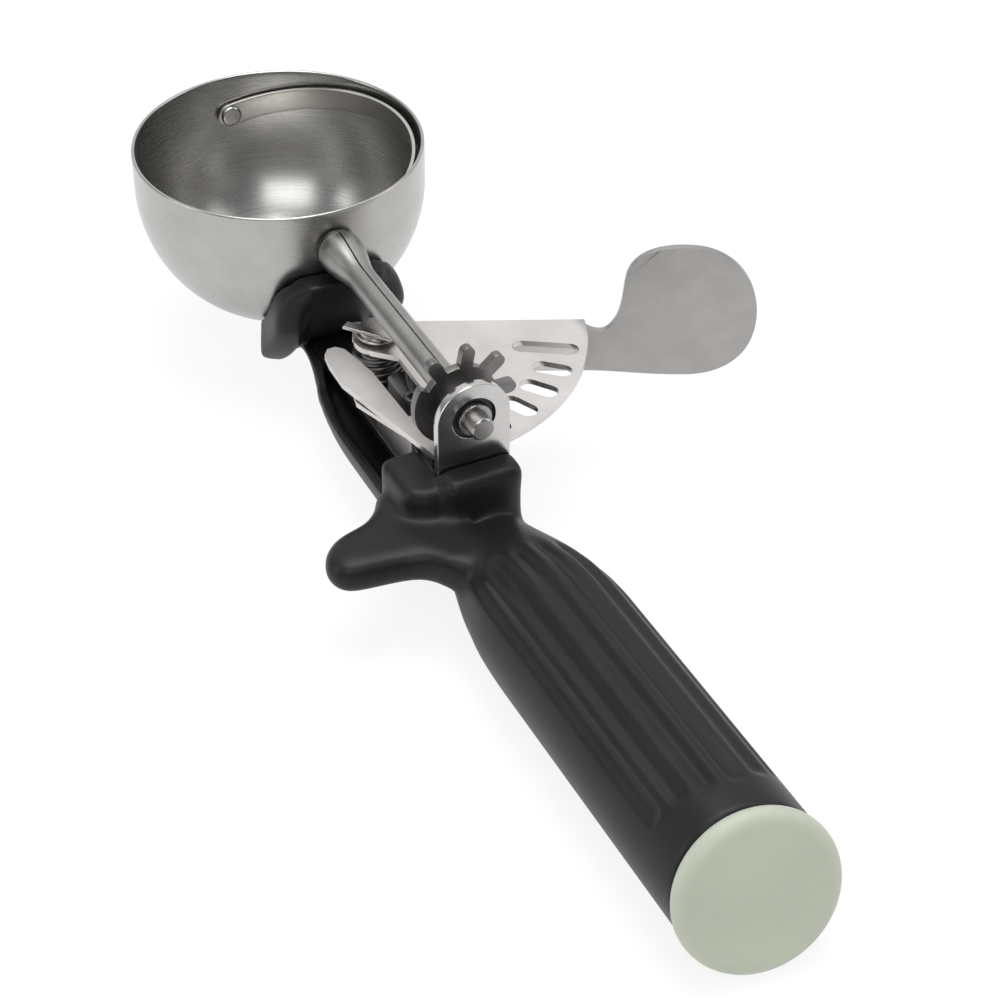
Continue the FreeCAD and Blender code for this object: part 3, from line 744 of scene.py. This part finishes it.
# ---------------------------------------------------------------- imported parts
class SCOOP_OT_metal(bpy.types.Operator):
    """Packed steel and brass parts: their finish, and a fine broken edge on each"""
    bl_idname = "scoop.metal"
    bl_label = "Small metal parts"

    def execute(self, context):
        dressed = {"bowl", "scraper", "shaft_tube", "return_spring", "handle", "end_cap"}
        slots = {row["node"]: row["material_slot"] for row in frame["record"]["subparts"]}
        for name, ob in NODES.items():
            if name in dressed:
                continue
            finish = finish_for(slots[name])
            if not ob.material_slots:
                ob.data.materials.append(finish)
            for slot in ob.material_slots:
                slot.material = finish
            weld = ob.modifiers.new("weld", "WELD")
            weld.merge_threshold = 1e-6
            edge = ob.modifiers.new("edge", "BEVEL")
            edge.width = 0.12 * MM
            edge.segments = 2
            edge.limit_method = "ANGLE"
            edge.angle_limit = math.radians(42)
        return {"FINISHED"}


# ---------------------------------------------------------------- stage
CAMERA_PLACE = (-0.17509, -0.47148, 0.30475)
CAMERA_TURN = ((0.89675, 0.27520, -0.34656), (-0.44251, 0.56571, -0.69581), (0.00456, 0.77733, 0.62908))
WHITE = (1.0, 1.0, 1.0)
FLOOR_HALF = 4.0
FLOOR_GLOW = 0.86                       # share of the floor's white that the camera sees
FLOOR_GLOSS = 0.7                       # share of that glow seen in the steel
BACKDROP = (0.30, 0.66, 0.69)           # direction of the backdrop's middle
# name, place, aim, size in metres and power in watts
LAMPS = (
    ("overhead", (0.02, -0.02, 1.05), (0, -0.03, 0), (0.75, 0.55), 8.0),
    ("right", (0.9, -0.35, 0.5), (0, -0.08, 0), (0.5, 0.8), 2.5),
    ("left", (-0.9, 0.1, 0.35), (0, -0.08, 0), (0.35, 0.6), 2.0),
    ("behind", (-0.38, -0.70, 0.80), (0, 0, 0), (0.85, 0.42), 3.0),
)


def placed(name, data, rows, place):
    """Object in the scene with the rows of a rotation and a place."""
    ob = bpy.data.objects.new(name, data)
    ob.matrix_world = Matrix([[*row, p] for row, p in zip(rows, place)] + [[0, 0, 0, 1]])
    bpy.context.scene.collection.objects.link(ob)
    return ob


def area_light(name, place, aim, size, power):
    """Oblong soft light at a place, turned to face an aim point."""
    data = bpy.data.lights.new(name, "AREA")
    data.shape = "RECTANGLE"
    data.size, data.size_y = size
    data.energy = power
    z = np.array(place, float) - np.array(aim, float)
    z /= np.linalg.norm(z)
    x = np.cross([0, 0, 1.0], z)
    x /= np.linalg.norm(x)
    placed(name, data, np.stack([x, np.cross(z, x), z], 1), place)


def floor_finish():
    """Pale floor that keeps the shadow: a diffuse shader, mixed by the kind of ray with a white
    glow that the camera sees in full and reflections in part."""
    mat, nt, bsdf = shader("pale_floor", (0.93, 0.93, 0.93), 0.7, spec=0.1)
    ray = add(nt, "ShaderNodeLightPath")
    gloss = add(nt, "ShaderNodeMath", "MULTIPLY")
    gloss.inputs[1].default_value = FLOOR_GLOSS
    nt.links.new(ray.outputs["Is Glossy Ray"], gloss.inputs[0])
    seen = add(nt, "ShaderNodeMath", "MAXIMUM")
    nt.links.new(ray.outputs["Is Camera Ray"], seen.inputs[0])
    nt.links.new(gloss.outputs["Value"], seen.inputs[1])
    share = add(nt, "ShaderNodeMath", "MULTIPLY")
    share.inputs[1].default_value = FLOOR_GLOW
    nt.links.new(seen.outputs["Value"], share.inputs[0])
    glow = add(nt, "ShaderNodeEmission", Color=(*WHITE, 1), Strength=1.0)
    mix = add(nt, "ShaderNodeMixShader")
    nt.links.new(share.outputs["Value"], mix.inputs["Fac"])
    nt.links.new(bsdf.outputs["BSDF"], mix.inputs[1])
    nt.links.new(glow.outputs["Emission"], mix.inputs[2])
    nt.links.new(mix.outputs["Shader"], nt.nodes["Material Output"].inputs["Surface"])
    return mat


def studio():
    """World: the camera sees white; everything else sees a white backdrop behind the scoop that
    falls to a grey room behind the camera, by the angle to the backdrop's middle, and diffuse
    light comes from one pale grey."""
    world = bpy.data.worlds.new("studio")
    world.use_nodes = True
    nt = world.node_tree
    angle = add(nt, "ShaderNodeVectorMath", "DOT_PRODUCT")
    angle.inputs[1].default_value = BACKDROP
    nt.links.new(add(nt, "ShaderNodeTexCoord").outputs["Generated"], angle.inputs[0])
    fall = ramp_between(nt, angle.outputs["Value"], (0.22, 0.22, 0.225), WHITE, (0.25, 0.92))
    fall.color_ramp.interpolation = "EASE"
    ray = add(nt, "ShaderNodeLightPath")
    soft = mix_colour(nt, ray.outputs["Is Diffuse Ray"], fall.outputs["Color"], (0.62, 0.62, 0.63))
    tone = mix_colour(nt, ray.outputs["Is Camera Ray"], soft, WHITE)
    back = nt.nodes["Background"]
    nt.links.new(tone, back.inputs["Color"])
    back.inputs["Strength"].default_value = 1.0
    return world


class SCOOP_OT_stage(bpy.types.Operator):
    """Pale floor, soft lamps and the camera"""
    bl_idname = "scoop.stage"
    bl_label = "Stage"

    def execute(self, context):
        s = context.scene.scoop_stage
        scene = context.scene
        cam = bpy.data.cameras.new("camera")
        cam.sensor_width = 36.0
        cam.lens = s.lens
        cam.clip_start = 0.01
        cam.clip_end = 50.0
        scene.camera = placed("camera", cam, CAMERA_TURN, CAMERA_PLACE)

        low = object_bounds()[0][2] - s.floor_drop
        gx, gy = np.meshgrid([-FLOOR_HALF, 0.0, FLOOR_HALF], [-FLOOR_HALF, 0.0, FLOOR_HALF])
        grid = np.stack([gx, gy, np.full_like(gx, low)], -1)
        floor = make_object("floor", grid, skin(3, 3, False, False), floor_finish(), smooth=False)
        floor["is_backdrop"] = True

        scene.world = studio()
        for lamp in LAMPS:
            area_light(*lamp)
        scene.view_settings.view_transform = "Standard"
        return {"FINISHED"}


# ---------------------------------------------------------------- panel and registration
class SCOOP_PT_panel(bpy.types.Panel):
    """Lists the scoop's settings and pieces"""
    bl_idname = "SCOOP_PT_panel"
    bl_label = "Lever scoop"
    bl_space_type = "VIEW_3D"
    bl_region_type = "UI"
    bl_category = "Scoop"

    def draw(self, context):
        for name in GROUPS:
            group = getattr(context.scene, name)
            for key in group.__annotations__:
                self.layout.prop(group, key)
        for op in OPERATORS:
            self.layout.operator(op.bl_idname)


OPERATORS = (
    SCOOP_OT_bowl, SCOOP_OT_scraper, SCOOP_OT_tube, SCOOP_OT_spring,
    SCOOP_OT_handle, SCOOP_OT_cap, SCOOP_OT_metal, SCOOP_OT_stage,
)
GROUPS = {
    "scoop_finish": ScoopFinish,
    "scoop_bowl": ScoopBowl,
    "scoop_tube": ScoopTube,
    "scoop_stage": ScoopStage,
}


def register():
    for name, group in GROUPS.items():
        bpy.utils.register_class(group)
        setattr(bpy.types.Scene, name, bpy.props.PointerProperty(type=group))
    for cls in (*OPERATORS, SCOOP_PT_panel):
        bpy.utils.register_class(cls)


def unregister():
    for cls in reversed((*OPERATORS, SCOOP_PT_panel)):
        bpy.utils.unregister_class(cls)
    for name, group in GROUPS.items():
        delattr(bpy.types.Scene, name)
        bpy.utils.unregister_class(group)


def main():
    register()
    bpy.ops.scoop.bowl()
    bpy.ops.scoop.scraper()
    bpy.ops.scoop.tube()
    bpy.ops.scoop.spring()
    bpy.ops.scoop.handle()
    bpy.ops.scoop.cap()
    bpy.ops.scoop.metal()
    bpy.ops.scoop.stage()
    bpy.context.view_layer.update()


if __name__ == "__main__":
    main()
